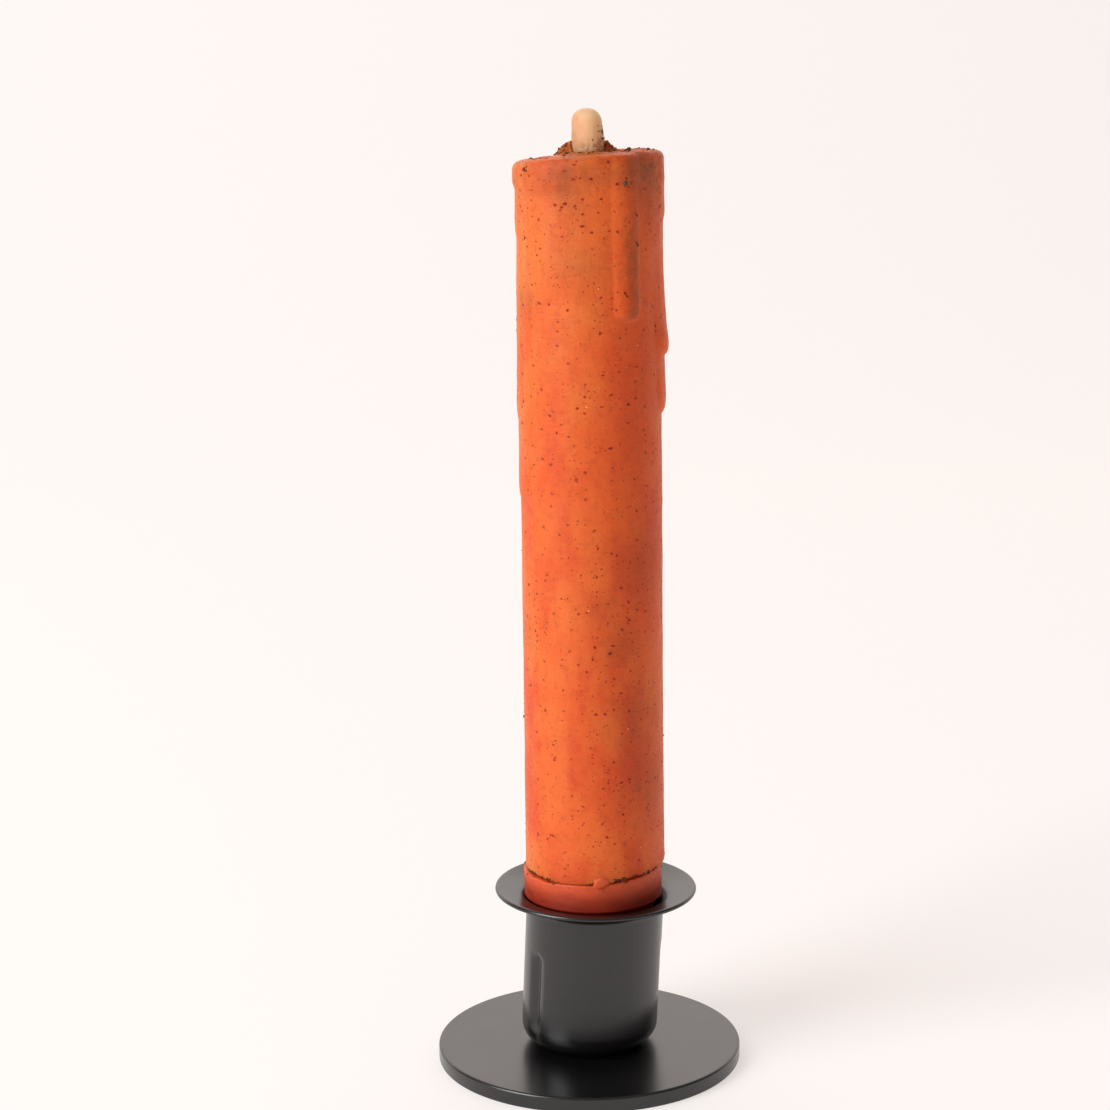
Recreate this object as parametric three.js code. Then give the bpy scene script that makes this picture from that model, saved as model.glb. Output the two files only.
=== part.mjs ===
// A burnt-orange dinner candle with wax runs, standing in a black steel holder.
//
// Units are millimetres, +Z is up, and the origin is the centre of the holder's underside.
// Azimuths are degrees seen from above, 0 at the front (-Y), growing towards the right (+X).
//
// The holder is a turned disc, a drawn cup with a flared flange, and a rivet through both.
// The candle is a foot that plugs into the cup, a longer body above an open seam, and a wick
// that runs through both. The cup leans a little to +X; the candle stands upright off its axis.
import * as THREE from "three";

// ---- Driving dimensions -----------------------------------------------------------------

const SEGMENTS = { disc: 64, cup: 56, foot: 44, body: 64, wick: 16, rivet: 20 };

const DISC = { radius: 26.15, thickness: 2.6, topEdge: 0.7, bottomEdge: 0.2 };

const CUP = {
  wall: 0.8, // sheet thickness
  radius: 11.8, // outside of the straight wall
  corner: 3.0, // outside radius at the floor
  throat: 3.0, // radius of the flare, on the inside
  flangeRadius: 17.3,
  flangeTop: 30.5, // height of the rim
  flangeSlope: 14, // degrees that the flange rises outwards
  topOffset: 1.4, // how far the rim sits to +X of the floor
};

// Grooves pressed into the wall to grip a candle.
const GROOVES = {
  azimuths: [-52, 88, 198],
  bottom: 6.6,
  top: 21.4,
  halfWidth: 2.5,
  depth: 0.7,
};

const RIVET = {
  shank: 1.5,
  headRadius: 3.0,
  headHeight: 0.9,
  sinkDepth: 1.2, // of the countersink in the disc's underside
  recess: 0.2, // how far the rivet's end stays above the underside
  play: 0.15,
};

const FOOT = {
  centreX: 0.94,
  offAxis: 0.36, // how much nearer the shoulder is to its own axis than the flare to the cup's
  gap: 0.35, // left to the flare
  radius: 11.87,
  top: 34.45,
  plugRadius: 9.0, // at the bottom of the conical plug
  bottom: 4.6,
  edge: 0.35,
  bore: 1.8,
};

const BODY = {
  centreX: 1.3,
  bottom: 34.9,
  bottomRadius: 11.9,
  topRadius: 11.65,
  edge: 0.5,
  rim: 154.6, // mean height of the rim's crest
  rimTilt: 0.065, // rise of the rim per millimetre towards +X
  tiltFrom: 138, // the tilt fades in between these heights
  tiltTo: 150,
  lipRound: 1.6, // radius of the rim's outer edge
  lipBottom: 149.3,
  lipThickness: 0.35,
  poolRadius: 7.8, // where the melted top is lowest
  poolDepth: 0.7, // below the rim's crest
  moundRadius: 3.3,
  moundTop: 156.8, // wax drawn up around the wick
  moundFoot: 5.4, // radius at which the mound meets the pool
  moundDip: 1.4, // how much lower the mound is at the front
  bore: 1.2,
};

const WICK = {
  baseRadius: 2.75,
  neckRadius: 2.35,
  tip: 162.0,
  domeHeight: 2.1,
  nubBottom: 154.9,
  core: 0.9,
  bottom: 6.0,
};

// Wax that ran down the side and set. thickness is at the bead, and film is the share of it
// that is left on the wall above; bead is the height over which one turns into the other.
const RUNS = [
  { azimuth: 31, halfWidth: 2.6, end: 127.9, thickness: 0.85, film: 0.75, bead: 12 },
  { azimuth: -42, halfWidth: 5.0, end: 131.0, thickness: 0.3, film: 0.85, bead: 14 },
  { azimuth: 84, halfWidth: 4.2, end: 121.9, thickness: 1.1, film: 0.1, bead: 7 },
  { azimuth: 92, halfWidth: 5.0, end: 112.2, thickness: 0.9, film: 0.25, bead: 14 },
  { azimuth: 84, halfWidth: 3.2, end: 143.8, thickness: 0.4, film: 0.8, bead: 8 },
  { azimuth: -78, halfWidth: 4.6, end: 141.5, thickness: 0.38, film: 0.6, bead: 8 },
  { azimuth: -98, halfWidth: 6.0, end: 111.5, thickness: 0.6, film: 0.2, bead: 14 },
  { azimuth: -86, halfWidth: 6.0, end: 98.4, thickness: 0.38, film: 0.5, bead: 20 },
  { azimuth: 130, halfWidth: 2.6, end: 119.0, thickness: 0.7, film: 0.6, bead: 10 },
  { azimuth: 158, halfWidth: 3.2, end: 137.0, thickness: 0.45, film: 0.6, bead: 10 },
  { azimuth: 187, halfWidth: 2.4, end: 106.0, thickness: 0.7, film: 0.55, bead: 12 },
  { azimuth: 215, halfWidth: 4.0, end: 128.0, thickness: 0.5, film: 0.5, bead: 12 },
  { azimuth: 243, halfWidth: 2.8, end: 139.0, thickness: 0.5, film: 0.6, bead: 10 },
];

const COLOURS = { wax: 0xd9622f, foot: 0xb9482b, wick: 0xdcab7b, steel: 0x232120 };

// ---- Helpers ----------------------------------------------------------------------------

const { degToRad, radToDeg, euclideanModulo, mapLinear, smoothstep } = THREE.MathUtils;

/** Point of a profile: radius, height. */
const at = (radius, height) => new THREE.Vector2(radius, height);

/** Points of an arc in the profile plane, angles in degrees from the +radius direction. */
function arc(radius, height, size, from, to, steps) {
  return Array.from({ length: steps + 1 }, (_, i) => {
    const angle = degToRad(from + ((to - from) * i) / steps);
    return at(radius + size * Math.cos(angle), height + size * Math.sin(angle));
  });
}

/** Evenly spaced heights between two values, both included. */
const levels = (from, to, steps) =>
  Array.from({ length: steps + 1 }, (_, i) => from + ((to - from) * i) / steps);

/** A profile turned about Z, each vertex then moved by shape(vertex). */
function turned(profile, segments, shape = () => {}) {
  const geometry = new THREE.LatheGeometry(profile, segments);
  geometry.rotateX(Math.PI / 2);
  const places = geometry.getAttribute("position");
  const vertex = new THREE.Vector3();
  for (let i = 0; i < places.count; i += 1) {
    vertex.fromBufferAttribute(places, i);
    shape(vertex);
    places.setXYZ(i, vertex.x, vertex.y, vertex.z);
  }
  geometry.computeVertexNormals();
  return geometry;
}

/** Azimuth of a point in degrees, 0 at the front and growing to the right. */
const azimuthOf = (v) => radToDeg(Math.atan2(v.x, -v.y));

/** Distance along the surface between a point and an azimuth, signed. */
function acrossFrom(v, azimuth) {
  const turn = euclideanModulo(azimuthOf(v) - azimuth + 180, 360) - 180;
  return degToRad(turn) * Math.hypot(v.x, v.y);
}

/** Moves a point outwards from the Z axis. */
function pushOut(v, distance) {
  const radius = Math.hypot(v.x, v.y);
  const scale = (radius + distance) / radius;
  v.x *= scale;
  v.y *= scale;
}

function piece(name, geometry, colour, roughness, metalness = 0) {
  const material = new THREE.MeshStandardMaterial({ color: colour, roughness, metalness });
  const mesh = new THREE.Mesh(geometry, material);
  mesh.name = name;
  return mesh;
}

// ---- Holder -----------------------------------------------------------------------------

/** Flat disc with a rolled upper edge and a countersunk hole for the rivet. */
function baseDisc() {
  const { radius, thickness, topEdge, bottomEdge } = DISC;
  const hole = RIVET.shank + RIVET.play;
  const sink = RIVET.headRadius + RIVET.play;
  const profile = [
    at(sink, 0),
    at(radius - bottomEdge, 0),
    at(radius, bottomEdge),
    ...arc(radius - topEdge, thickness - topEdge, topEdge, 0, 90, 4),
    at(hole, thickness),
    at(hole, RIVET.sinkDepth),
    at(sink, 0),
  ];
  return turned(profile, SEGMENTS.disc);
}

/** Centre of the flare's arc, in the cup's profile plane. */
function flareCentre() {
  const { wall, radius, throat, flangeRadius, flangeTop, flangeSlope } = CUP;
  const slope = degToRad(flangeSlope);
  const middle = throat - wall / 2; // radius of the sheet's middle line
  const centre = radius - wall + throat;
  const straight = flangeRadius - wall / 2 - (centre - middle * Math.sin(slope));
  const rise = middle * Math.cos(slope) + straight * Math.tan(slope);
  return at(centre, flangeTop - wall / 2 - rise);
}

/** How far the cup's wall is pressed in at a point. */
function grooveDepth(v) {
  const { azimuths, bottom, top, halfWidth, depth } = GROOVES;
  const rising = smoothstep(v.z, bottom, bottom + halfWidth);
  const falling = 1 - smoothstep(v.z, top - halfWidth, top);
  const across = Math.min(...azimuths.map((azimuth) => Math.abs(acrossFrom(v, azimuth))));
  return depth * rising * falling * (1 - smoothstep(across, 0, halfWidth));
}

/** Drawn cup: floor, rounded corner, wall, flared throat and flange, one sheet thick. */
function holderCup() {
  const { wall, radius, corner, throat, flangeRadius, flangeTop, flangeSlope } = CUP;
  const floor = DISC.thickness;
  const inner = radius - wall;
  const hole = RIVET.shank + RIVET.play;
  const flare = flareCentre();
  const flareEnd = 90 + flangeSlope;
  const heights = levels(floor + corner, flare.y, 8).slice(1, -1);
  const profile = [
    at(hole, floor),
    ...arc(radius - corner, floor + corner, corner, -90, 0, 4),
    ...heights.map((z) => at(radius, z)),
    ...arc(flare.x, flare.y, throat - wall, 180, flareEnd, 3),
    ...arc(flangeRadius - wall / 2, flangeTop - wall / 2, wall / 2, flangeSlope - 90, flareEnd, 4),
    ...arc(flare.x, flare.y, throat, flareEnd, 180, 4),
    ...heights.toReversed().map((z) => at(inner, z)),
    ...arc(radius - corner, floor + corner, corner - wall, 0, -90, 4),
    at(hole, floor + wall),
    at(hole, floor),
  ];
  const leanPerMm = CUP.topOffset / (flangeTop - floor);
  return turned(profile, SEGMENTS.cup, (v) => {
    if (Math.hypot(v.x, v.y) > inner - wall) pushOut(v, -grooveDepth(v));
    v.x += leanPerMm * (v.z - floor);
  });
}

/** Rivet with a domed head in the cup and a countersunk end in the disc. */
function cupRivet() {
  const { shank, headRadius, headHeight, sinkDepth, recess } = RIVET;
  const headBottom = DISC.thickness + CUP.wall;
  const profile = [
    at(0, recess),
    at(mapLinear(recess, 0, sinkDepth, headRadius, shank), recess),
    at(shank, sinkDepth),
    at(shank, headBottom),
    at(headRadius, headBottom),
    at(headRadius * 0.8, headBottom + headHeight * 0.7),
    at(headRadius * 0.4, headBottom + headHeight),
    at(0, headBottom + headHeight),
  ];
  return turned(profile, SEGMENTS.rivet);
}

// ---- Candle -----------------------------------------------------------------------------

/** The length below the seam: a short band, a shoulder shaped by the flare, and a plug. */
function candleFoot() {
  const { offAxis, gap, radius, top, plugRadius, bottom, edge, bore } = FOOT;
  const flare = flareCentre();
  const shoulder = CUP.throat + gap;
  const shoulderX = flare.x - offAxis;
  const shoulderEnd = radToDeg(Math.acos((radius - shoulderX) / shoulder));
  const profile = [
    at(bore, bottom),
    at(plugRadius - edge, bottom),
    at(plugRadius, bottom + edge),
    ...arc(shoulderX, flare.y, shoulder, 180, shoulderEnd, 5),
    at(radius, top - edge),
    at(radius - edge, top),
    at(bore, top),
    at(bore, bottom),
  ];
  return turned(profile, SEGMENTS.foot);
}

/** Thickness of the set wax that one run leaves at a point of the wall. */
function runThickness(run, v) {
  const { azimuth, halfWidth, end, thickness, film, bead } = run;
  const across = acrossFrom(v, azimuth) / halfWidth;
  const below = Math.max(0, (end + halfWidth - v.z) / halfWidth);
  const inside = 1 - across ** 2 - below ** 3;
  if (inside <= 0) return 0;
  const share = film + (1 - film) * Math.exp(-Math.max(0, v.z - end) / bead);
  return thickness * share * inside ** 0.6;
}

/** Thickness of everything that set on the wall at a point: the runs and the rim's lip. */
function coatThickness(v) {
  const turn = degToRad(azimuthOf(v));
  const lipEdge = BODY.lipBottom + 0.5 * Math.sin(3 * turn + 1) + 0.35 * Math.sin(7 * turn);
  const lip = BODY.lipThickness * smoothstep(v.z, lipEdge, lipEdge + 1.2);
  return RUNS.reduce((sum, run) => sum + runThickness(run, v), lip);
}

/** Wax body: tapering wall with runs, rounded rim, melted top and a central bore. */
function candleBody() {
  const { bottom, bottomRadius, topRadius, edge, rim, lipRound, poolRadius } = BODY;
  const { moundRadius, moundTop, moundFoot, bore } = BODY;
  const wallTop = rim - lipRound;
  const pool = rim - BODY.poolDepth;
  const lowestRun = Math.min(...RUNS.map((run) => run.end));
  const plain = levels(bottom + edge, lowestRun, 5);
  const covered = levels(lowestRun, wallTop, 28).slice(1);
  const pocket = WICK.baseRadius + 0.3; // the wick's thick end sits in this
  const pocketFloor = WICK.nubBottom - 0.3;
  const profile = [
    at(bore, bottom),
    at(bottomRadius - edge, bottom),
    ...[...plain, ...covered].map((z) =>
      at(mapLinear(z, bottom, wallTop, bottomRadius, topRadius), z),
    ),
    ...arc(topRadius - lipRound, wallTop, lipRound, 0, 90, 4).slice(1),
    at(poolRadius, pool),
    at(moundFoot, mapLinear(0.35, 0, 1, pool, moundTop)),
    at((moundFoot + moundRadius) / 2, mapLinear(0.65, 0, 1, pool, moundTop)),
    at(moundRadius, moundTop),
    at(pocket, moundTop),
    at(pocket, pocketFloor),
    at(bore, pocketFloor),
    at(bore, bottom),
  ];
  const isWall = (v) => v.z > bottom + edge / 2 && Math.hypot(v.x, v.y) > topRadius - 1;
  return turned(profile, SEGMENTS.body, (v) => {
    if (isWall(v)) pushOut(v, coatThickness(v));
    const offset = Math.hypot(v.x, v.y);
    const mound = smoothstep(v.z, rim, moundTop);
    const front = smoothstep(-v.y, 0, moundRadius);
    const share = smoothstep(v.z, BODY.tiltFrom, BODY.tiltTo) * smoothstep(offset, pocket, poolRadius);
    v.z += BODY.rimTilt * v.x * share - BODY.moundDip * mound * front;
  });
}

/** Wick: a thick rounded end above the wax, on a thin core that runs to the foot. */
function wick() {
  const { baseRadius, neckRadius, tip, domeHeight, nubBottom, core, bottom } = WICK;
  const dome = arc(0, 0, neckRadius, 0, 90, 5);
  const profile = [
    at(0, bottom),
    at(core, bottom),
    at(core, nubBottom),
    at(baseRadius, nubBottom),
    at(baseRadius, BODY.moundTop),
    ...dome.map(({ x, y }) => at(x, tip - domeHeight + (y / neckRadius) * domeHeight)),
  ];
  return turned(profile, SEGMENTS.wick);
}

// ---- Assembly ---------------------------------------------------------------------------

const holder = new THREE.Group();
holder.add(
  piece("base_disc", baseDisc(), COLOURS.steel, 0.4, 0.2),
  piece("holder_cup", holderCup(), COLOURS.steel, 0.4, 0.2),
  piece("cup_rivet", cupRivet(), COLOURS.steel, 0.45, 0.3),
);

const foot = piece("candle_foot", candleFoot(), COLOURS.foot, 0.6);
foot.position.x = FOOT.centreX;

const upper = new THREE.Group();
upper.position.x = BODY.centreX;
upper.add(
  piece("candle_body", candleBody(), COLOURS.wax, 0.6),
  piece("wick", wick(), COLOURS.wick, 0.8),
);

const candleInHolder = new THREE.Group();
candleInHolder.add(holder, foot, upper);

export default candleInHolder;
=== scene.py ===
"""A partly melted dinner candle in a black steel holder.

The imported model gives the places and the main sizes. Every visible piece is a fine surface
worked out here with numpy, in the same place as the CAD node that it stands for.

Lengths are in millimetres until a mesh is made, and metres from then on. Azimuths are radians
seen from above, 0 at the front (-Y), growing towards the right (+X).
"""
import logging
import math
from dataclasses import dataclass, field
from enum import Enum
from typing import Any, Sequence

import bpy
import numpy as np
from mathutils import Euler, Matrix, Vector


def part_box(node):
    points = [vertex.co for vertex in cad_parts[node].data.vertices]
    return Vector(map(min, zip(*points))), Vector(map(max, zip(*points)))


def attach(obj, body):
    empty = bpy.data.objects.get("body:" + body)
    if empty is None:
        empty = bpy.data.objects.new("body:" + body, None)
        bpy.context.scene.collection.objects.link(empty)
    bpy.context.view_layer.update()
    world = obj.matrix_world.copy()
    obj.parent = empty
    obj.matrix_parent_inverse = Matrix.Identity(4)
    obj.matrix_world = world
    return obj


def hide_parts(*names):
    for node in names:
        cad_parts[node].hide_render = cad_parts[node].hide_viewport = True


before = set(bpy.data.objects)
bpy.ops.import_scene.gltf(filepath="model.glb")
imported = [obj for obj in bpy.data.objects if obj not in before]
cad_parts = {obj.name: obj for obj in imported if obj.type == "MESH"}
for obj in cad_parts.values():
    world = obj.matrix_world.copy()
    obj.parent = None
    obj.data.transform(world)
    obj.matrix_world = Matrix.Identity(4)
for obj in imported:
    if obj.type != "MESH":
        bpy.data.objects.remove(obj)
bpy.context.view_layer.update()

LOG = logging.getLogger("candle")
MM = 0.001

Colour = tuple[float, float, float, float]


def rgb(red: float, green: float, blue: float) -> Colour:
    """A linear colour with full alpha."""
    return (red, green, blue, 1.0)


# ---- Numbers in space -------------------------------------------------------------------


class Noise:
    """Smooth random numbers in space, the same on every run."""

    SIDE = 32

    def __init__(self, seed: int) -> None:
        """Fills the lattice.

        Args:
            seed: Which of the random lattices to use.
        """
        draws = np.random.default_rng(seed)
        self._lattice = draws.uniform(-1.0, 1.0, (self.SIDE,) * 3)

    def at(self, points: np.ndarray, size: float | Sequence[float]) -> np.ndarray:
        """Noise from -1 to 1 at each point.

        Space is cut into cells of the given size with a random number at each corner, and a
        point takes the mean of its cell's eight corners, weighted by nearness with an
        eased step, so that neighbouring cells join smoothly.

        Args:
            points: Array whose last axis is x, y, z in millimetres.
            size: Edge of a cell in millimetres, or one for each axis.

        Returns:
            Array of the points' shape without its last axis.
        """
        scaled = points / np.asarray(size, float)
        corner = np.floor(scaled).astype(int)
        part = scaled - corner
        near = part * part * (3.0 - 2.0 * part)
        total = np.zeros(points.shape[:-1])
        for step in np.ndindex(2, 2, 2):
            offset = np.array(step)
            weight = np.prod(np.where(offset == 1, near, 1.0 - near), axis=-1)
            place = (corner + offset) % self.SIDE
            total += weight * self._lattice[place[..., 0], place[..., 1], place[..., 2]]
        return total

    def layered(self, points: np.ndarray, size: float, octaves: int = 3) -> np.ndarray:
        """Noise summed over octaves, each half as large and half as strong as the last.

        Args:
            points: Array whose last axis is x, y, z in millimetres.
            size: Cell size of the first octave.
            octaves: How many layers are summed.

        Returns:
            Array of the points' shape without its last axis, within about -1 to 1.
        """
        layers = [self.at(points + 7.3 * k, size / 2**k) / 2**k for k in range(octaves)]
        return sum(layers) / (2.0 - 2.0 ** (1 - octaves))


def ease(values: np.ndarray, start: float, end: float) -> np.ndarray:
    """Smooth step from 0 at start to 1 at end."""
    share = np.clip((values - start) / (end - start), 0.0, 1.0)
    return share * share * (3.0 - 2.0 * share)


def turn_between(azimuth: np.ndarray, other: np.ndarray | float) -> np.ndarray:
    """Signed angle from other to azimuth, between minus and plus half a turn."""
    return (azimuth - other + math.pi) % math.tau - math.pi


# ---- Profiles and surfaces --------------------------------------------------------------


def line(start: tuple[float, float], end: tuple[float, float], steps: int) -> np.ndarray:
    """Evenly spaced points of a straight stretch of profile, both ends included."""
    share = np.linspace(0.0, 1.0, steps + 1)[:, None]
    return (1.0 - share) * np.array(start) + share * np.array(end)


def arc(
    centre: tuple[float, float], radius: float, start: float, end: float, steps: int
) -> np.ndarray:
    """Points of an arc of a profile: centre plus radius times cosine and sine.

    Args:
        centre: Radius and height of the arc's centre.
        radius: Radius of the arc.
        start: First angle in degrees, from the outward direction towards up.
        end: Last angle in degrees.
        steps: How many chords the arc has.

    Returns:
        Array of steps + 1 points, each a radius and a height.
    """
    angles = np.radians(np.linspace(start, end, steps + 1))
    return np.array(centre) + radius * np.stack([np.cos(angles), np.sin(angles)], axis=-1)


def section(*stretches: np.ndarray) -> np.ndarray:
    """Joins stretches of a profile and drops points that repeat."""
    points = np.concatenate(stretches)
    gaps = np.linalg.norm(np.diff(points, axis=0), axis=1)
    return points[np.concatenate([[True], gaps > 1e-4])]


def around(count: int) -> np.ndarray:
    """Azimuths of the columns of a surface that closes on itself."""
    return np.linspace(-math.pi, math.pi, count, endpoint=False)


def revolve(profile: np.ndarray, azimuths: np.ndarray) -> np.ndarray:
    """Turns a profile about the vertical axis.

    A point is radius times the sine of the azimuth to the right, radius times its cosine to
    the front, and its height.

    Args:
        profile: Rows of radius and height, going up on the outside.
        azimuths: Azimuth of each column.

    Returns:
        Array of columns by rows by x, y, z.
    """
    radius, height = profile[None, :, 0], profile[None, :, 1]
    turn = azimuths[:, None]
    return np.stack(
        np.broadcast_arrays(radius * np.sin(turn), -radius * np.cos(turn), height), axis=-1
    )


class Ends(Enum):
    """How the rows of a surface end."""

    RING = "the last row joins the first, as on a bored piece"
    POLES = "the first and last rows are single points on the axis"


@dataclass(frozen=True)
class Surface:
    """A grid of points that closes on itself around its columns, with marks for its shader."""

    points: np.ndarray
    ends: Ends
    marks: dict[str, np.ndarray] = field(default_factory=dict)

    def _ring_faces(self) -> list[list[int]]:
        """Quads between neighbouring columns and rows, wrapping round both ways."""
        columns, rows = self.points.shape[:2]
        column, row = np.meshgrid(np.arange(columns), np.arange(rows), indexing="ij")
        right, above = (column + 1) % columns, (row + 1) % rows
        corners = [column * rows + row, right * rows + row, right * rows + above, column * rows + above]
        return np.stack(corners, axis=-1).reshape(-1, 4).tolist()

    def _pole_faces(self) -> list[list[int]]:
        """Quads between the inner rows, and a fan of triangles at each pole."""
        columns, rows = self.points.shape[0], self.points.shape[1] - 2
        column, row = np.meshgrid(np.arange(columns), np.arange(rows - 1), indexing="ij")
        right = (column + 1) % columns
        corners = [
            column * rows + row,
            right * rows + row,
            right * rows + row + 1,
            column * rows + row + 1,
        ]
        quads = np.stack(corners, axis=-1).reshape(-1, 4).tolist()
        here = np.arange(columns)
        there = (here + 1) % columns
        first, last = columns * rows, columns * rows + 1
        low = np.stack([np.full(columns, first), there * rows, here * rows], axis=-1)
        high = np.stack(
            [np.full(columns, last), (here + 1) * rows - 1, (there + 1) * rows - 1], axis=-1
        )
        return quads + low.tolist() + high.tolist()

    def to_object(self, name: str) -> bpy.types.Object:
        """Makes the surface a smooth-shaded mesh object at the origin.

        Args:
            name: Name of the object and its mesh.

        Returns:
            The object, linked to the scene.
        """
        if self.ends is Ends.RING:
            vertices = self.points.reshape(-1, 3)
            faces = self._ring_faces()
        else:
            inner = self.points[:, 1:-1].reshape(-1, 3)
            poles = self.points[:, [0, -1]].mean(axis=0)
            vertices = np.concatenate([inner, poles])
            faces = self._pole_faces()
        made = mesh_object(name, vertices, faces)
        for mark, values in self.marks.items():
            attribute = made.data.attributes.new(mark, "FLOAT", "POINT")
            attribute.data.foreach_set("value", values.ravel())
        return made


def mesh_object(name: str, vertices: np.ndarray, faces: list[list[int]]) -> bpy.types.Object:
    """Makes a smooth-shaded mesh object from points in millimetres.

    Args:
        name: Name of the object and its mesh.
        vertices: Rows of x, y, z in millimetres.
        faces: Corner indices of each face.

    Returns:
        The object, linked to the scene.
    """
    mesh = bpy.data.meshes.new(name)
    mesh.from_pydata((vertices * MM).tolist(), [], faces)
    mesh.polygons.foreach_set("use_smooth", np.ones(len(faces), dtype=bool))
    mesh.update()
    made = bpy.data.objects.new(name, mesh)
    bpy.context.scene.collection.objects.link(made)
    return made


# ---- Shader expressions -----------------------------------------------------------------


class Num:
    """A number socket of a shader that takes part in Python arithmetic."""

    def __init__(self, shader: "Shader", socket: bpy.types.NodeSocket) -> None:
        """Wraps a socket.

        Args:
            shader: The shader that the socket belongs to.
            socket: An output socket that carries a number.
        """
        self.shader = shader
        self.socket = socket

    def _math(self, operation: str, *values: Any) -> "Num":
        """Adds a Math node on values, each a number or another Num."""
        inputs = dict(enumerate(values))
        made = self.shader.node("ShaderNodeMath", {"operation": operation}, inputs)
        return Num(self.shader, made.outputs[0])

    def __add__(self, other: Any) -> "Num":
        """self + other."""
        return self._math("ADD", self, other)

    def __radd__(self, other: Any) -> "Num":
        """other + self."""
        return self._math("ADD", other, self)

    def __sub__(self, other: Any) -> "Num":
        """self - other."""
        return self._math("SUBTRACT", self, other)

    def __rsub__(self, other: Any) -> "Num":
        """other - self."""
        return self._math("SUBTRACT", other, self)

    def __mul__(self, other: Any) -> "Num":
        """self * other."""
        return self._math("MULTIPLY", self, other)

    def least(self, other: Any) -> "Num":
        """The smaller of self and other."""
        return self._math("MINIMUM", self, other)

    def most(self, other: Any) -> "Num":
        """The larger of self and other."""
        return self._math("MAXIMUM", self, other)

    def ease(self, start: Any, end: Any, low: float = 0.0, high: float = 1.0) -> "Num":
        """Smooth step of self, from low at start to high at end.

        Args:
            start: Where the step begins, a number or a Num.
            end: Where it ends. It is above start.
            low: Value before start.
            high: Value after end.

        Returns:
            The stepped value.
        """
        made = self.shader.node(
            "ShaderNodeMapRange",
            {"interpolation_type": "SMOOTHSTEP"},
            {0: self, 1: start, 2: end, 3: low, 4: high},
        )
        return Num(self.shader, made.outputs[0])


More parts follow.
